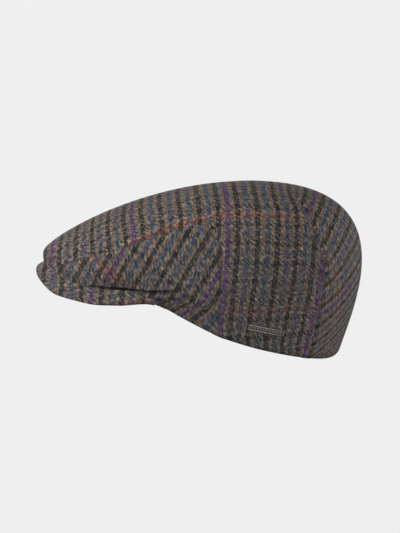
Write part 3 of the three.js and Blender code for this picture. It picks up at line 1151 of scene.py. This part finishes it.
class FlatCapCloth(bpy.types.PropertyGroup):
    """The tweed and how it is sewn."""

    thickness: length_setting("Thickness", "Thickness of the cloth", 0.0022)
    hem_radius: length_setting("Hem Radius", "Roundness of the turned hem", 0.0035)
    roll_radius: length_setting("Roll Radius", "Roundness of the panels over the peak", 0.002)
    roll_lift: length_setting("Roll Lift", "Gap between the panels and the peak", 0.0013)
    seam_depth: length_setting("Seam Depth", "How deep the seams sink", 0.0008)
    warp_repeat: length_setting("Warp Repeat", "Distance between two purple lines", 0.078)
    weft_repeat: length_setting("Weft Repeat", "Distance between two rust lines", 0.084)
    sway: length_setting("Sway", "How far threads stray from a straight line", 0.0012)
    warp_cover: share_setting("Warp Cover", "How far the warp hides the weft", 0.6)
    weft_show: share_setting("Weft Show", "How strongly the weft shows between", 0.82)
    accent_show: share_setting("Accent Show", "How far the rust lines cover the warp", 0.04)
    mottle: FloatProperty(name="Mottle", description="Brightest blotch over the darkest", default=55.0)
    hue: share_setting("Hue", "How far blotches differ in colour", 0.09)
    # Painted shade low on the cap: the height below which it starts, and how far the colour darkens and
    # greys there.
    shade_height: length_setting("Felt Height", "Below it handling runs the yarns together", 0.078)
    low_shade_share: share_setting("Shading", "How far yarns run together there", 0.17)
    weft_fade: share_setting("Weft Fade", "How far the blue weft takes the ground colour", 0.3)
    tan: colour_setting("Tan", "Ground yarn", (0.193, 0.144, 0.107))
    black: colour_setting("Black", "Dark yarn", (0.029, 0.0335, 0.037))
    blue: colour_setting("Blue", "Slate blue yarn", (0.062, 0.086, 0.129))
    purple: colour_setting("Purple", "Warp accent", (0.103, 0.06, 0.136))
    rust: colour_setting("Rust", "Weft accent", (0.235, 0.083, 0.06))
    # Dark grey of the painted shade low on the cap.
    low_shade_colour: colour_setting("Shade", "Yarns run together", (0.082, 0.068, 0.062))
    fleck: colour_setting("Fleck", "Stray pale fibres", (0.36, 0.33, 0.27))


class FlatCapMetal(bpy.types.PropertyGroup):
    """The badge's pewter."""

    ridge: colour_setting("Ridge", "Rubbed metal", (0.46, 0.43, 0.405))
    hollow: colour_setting("Hollow", "Metal darkened with age", (0.11, 0.1, 0.085))


class FlatCapStage(bpy.types.PropertyGroup):
    """Floor, light and camera."""

    pale: colour_setting("Pale", "Floor and backdrop", (0.863, 0.863, 0.863))
    world_glow: share_setting("World Glow", "Light of the backdrop on the cap", 0.29)
    floor_glow: share_setting("Floor Glow", "Light of the floor on the cap", 0.1)
    distance: length_setting("Distance", "From the camera to the cap", 1.8)
    height_in_view: length_setting("Height In View", "Height that the picture takes in at the cap", 0.4589)
    roll: FloatProperty(
        name="Roll",
        description="Turn of the camera about its view",
        default=math.radians(13.8),
        unit="ROTATION",
    )


def close_ends(piece):
    """Fills the open ends of a piece."""
    mesh = bmesh.new()
    mesh.from_mesh(piece.data)
    open_edges = [edge for edge in mesh.edges if edge.is_boundary]
    bmesh.ops.holes_fill(mesh, edges=open_edges, sides=0)
    mesh.to_mesh(piece.data)
    mesh.free()


def glow(w, strength):
    """Full strength for the camera, and the given one for the light that falls on the cap."""
    seen = w.add("ShaderNodeLightPath").outputs["Is Camera Ray"]
    return w.math("MULTIPLY_ADD", seen, 1 - strength, strength)


def add_floor(stage):
    """A wide pale disc, lit from within so that it stays as even as a studio sweep."""
    mesh = bpy.data.meshes.new("floor")
    disc = bmesh.new()
    bmesh.ops.create_circle(disc, cap_ends=True, segments=96, radius=FLOOR["radius"])
    disc.to_mesh(mesh)
    disc.free()
    floor = put("floor", mesh)
    floor.location.z = FLOOR["z"]
    paint, w, shader = new_material("Pale Floor")
    shader.inputs["Base Color"].default_value = (0, 0, 0, 1)
    shader.inputs["Roughness"].default_value = 1.0
    shader.inputs["Specular IOR Level"].default_value = 0.0
    shader.inputs["Emission Color"].default_value = opaque(stage.pale)
    w.send(shader.inputs, {"Emission Strength": glow(w, stage.floor_glow)})
    mesh.materials.append(paint)


def add_lights(stage):
    """An even pale world with large soft lights, low on all four sides."""
    world = bpy.data.worlds.new("Studio")
    world.use_nodes = True
    bpy.context.scene.world = world
    w = Wiring(world.node_tree)
    background = world.node_tree.nodes["Background"]
    background.inputs["Color"].default_value = opaque(stage.pale)
    w.send(background.inputs, {"Strength": glow(w, stage.world_glow)})
    for row in LIGHTS:
        light = bpy.data.lights.new(row["name"], "AREA")
        light.shape = "DISK"
        light.size = LIGHT["size"]
        light.energy = row["power"]
        lamp = put(row["name"], light)
        lamp.location = direction(row["azimuth"], row["elevation"]) * LIGHT["distance"]
        view = Vector(LIGHT["aim"]) - lamp.location
        lamp.rotation_euler = view.to_track_quat("-Z", "Y").to_euler()


def direction(azimuth, elevation):
    """Unit vector towards a place round the cap, in degrees from its left and above the floor."""
    turn = math.radians(azimuth)
    rise = math.radians(elevation)
    level = math.cos(rise)
    return Vector((math.cos(turn) * level, math.sin(turn) * level, math.sin(rise)))


def add_camera(stage):
    """The camera at the cap's left, a little above it and turned about its view."""
    aim = Vector(CAMERA["aim"])
    back = direction(CAMERA["azimuth"], CAMERA["elevation"])
    right = Vector((0, 0, 1)).cross(back).normalized()
    up = back.cross(right)
    turned_right = math.cos(stage.roll) * right + math.sin(stage.roll) * up
    turned_up = math.cos(stage.roll) * up - math.sin(stage.roll) * right
    data = bpy.data.cameras.new("camera")
    data.sensor_fit = "VERTICAL"
    data.sensor_height = 36
    data.lens = data.sensor_height * stage.distance / stage.height_in_view
    data.clip_end = 20
    camera = put("camera", data)
    turn = Matrix((turned_right, turned_up, back)).transposed()
    camera.matrix_world = Matrix.Translation(aim + back * stage.distance) @ turn.to_4x4()
    bpy.context.scene.camera = camera


class CapOperator:
    """What the operators share."""

    bl_options = {"REGISTER", "UNDO"}


class FLATCAP_OT_crown(CapOperator, bpy.types.Operator):
    """Sew the crown with its darts and its turned hem"""

    bl_idname = "flat_cap.crown"
    bl_label = "Crown"

    def execute(self, context):
        cloth = context.scene.flat_cap_cloth
        lines = PanelLines()
        piece = sew("crown_cloth", crown_patches(lines, cloth))
        press_in(piece, sewn_lines(lines, cloth))
        thicken(piece, cloth.thickness)
        seat(piece, ["crown"], tweed_material(cloth))
        return {"FINISHED"}


class FLATCAP_OT_side_panels(CapOperator, bpy.types.Operator):
    """Sew the panel at each side, between the crown and the peak"""

    bl_idname = "flat_cap.side_panels"
    bl_label = "Side Panels"

    def execute(self, context):
        cloth = context.scene.flat_cap_cloth
        lines = PanelLines()
        for hand, mirror in (("left", False), ("right", True)):
            piece = sew(f"side_panel_{hand}_cloth", [panel_patch(lines, cloth, mirror)])
            press_in(piece, sewn_lines(lines, cloth))
            thicken(piece, cloth.thickness)
            seat(piece, [f"side_panel_{hand}"], tweed_material(cloth))
        return {"FINISHED"}


class FLATCAP_OT_peak(CapOperator, bpy.types.Operator):
    """Cover the peak with cloth"""

    bl_idname = "flat_cap.peak"
    bl_label = "Peak"

    def execute(self, context):
        cloth = context.scene.flat_cap_cloth
        piece = sew("peak_cloth", [peak_patch(PanelLines())])
        close_ends(piece)
        seat(piece, ["peak"], tweed_material(cloth))
        return {"FINISHED"}


class FLATCAP_OT_badge(CapOperator, bpy.types.Operator):
    """Cast the badge with its frame and a row of plain lozenges"""

    bl_idname = "flat_cap.badge"
    bl_label = "Badge"

    def execute(self, context):
        piece = sew("badge_plate", badge_patches())
        seat(piece, ["badge"], pewter_material(context.scene.flat_cap_metal))
        return {"FINISHED"}


class FLATCAP_OT_stage(CapOperator, bpy.types.Operator):
    """Set the pale floor, the soft lights and the camera"""

    bl_idname = "flat_cap.stage"
    bl_label = "Stage"

    def execute(self, context):
        stage = context.scene.flat_cap_stage
        add_floor(stage)
        add_lights(stage)
        add_camera(stage)
        context.scene.view_settings.view_transform = "Standard"
        return {"FINISHED"}


class FLATCAP_PT_pieces(bpy.types.Panel):
    """Pieces of the cap and their settings"""

    bl_idname = "FLATCAP_PT_pieces"
    bl_label = "Flat Cap"
    bl_space_type = "VIEW_3D"
    bl_region_type = "UI"
    bl_category = "Flat Cap"

    def draw(self, context):
        for operator in OPERATORS:
            self.layout.operator(operator.bl_idname)
        for settings in ("flat_cap_cloth", "flat_cap_metal", "flat_cap_stage"):
            box = self.layout.box()
            group = getattr(context.scene, settings)
            for name in group.bl_rna.properties.keys():
                if name not in {"rna_type", "name"}:
                    box.prop(group, name)


OPERATORS = (
    FLATCAP_OT_crown,
    FLATCAP_OT_side_panels,
    FLATCAP_OT_peak,
    FLATCAP_OT_badge,
    FLATCAP_OT_stage,
)
CLASSES = (FlatCapCloth, FlatCapMetal, FlatCapStage) + OPERATORS + (FLATCAP_PT_pieces,)


def register():
    for cls in CLASSES:
        bpy.utils.register_class(cls)
    bpy.types.Scene.flat_cap_cloth = PointerProperty(type=FlatCapCloth)
    bpy.types.Scene.flat_cap_metal = PointerProperty(type=FlatCapMetal)
    bpy.types.Scene.flat_cap_stage = PointerProperty(type=FlatCapStage)


def unregister():
    del bpy.types.Scene.flat_cap_stage
    del bpy.types.Scene.flat_cap_metal
    del bpy.types.Scene.flat_cap_cloth
    for cls in reversed(CLASSES):
        bpy.utils.unregister_class(cls)


def main():
    register()
    bpy.ops.flat_cap.crown()
    bpy.ops.flat_cap.side_panels()
    bpy.ops.flat_cap.peak()
    bpy.ops.flat_cap.badge()
    bpy.ops.flat_cap.stage()


if __name__ == "__main__":
    main()
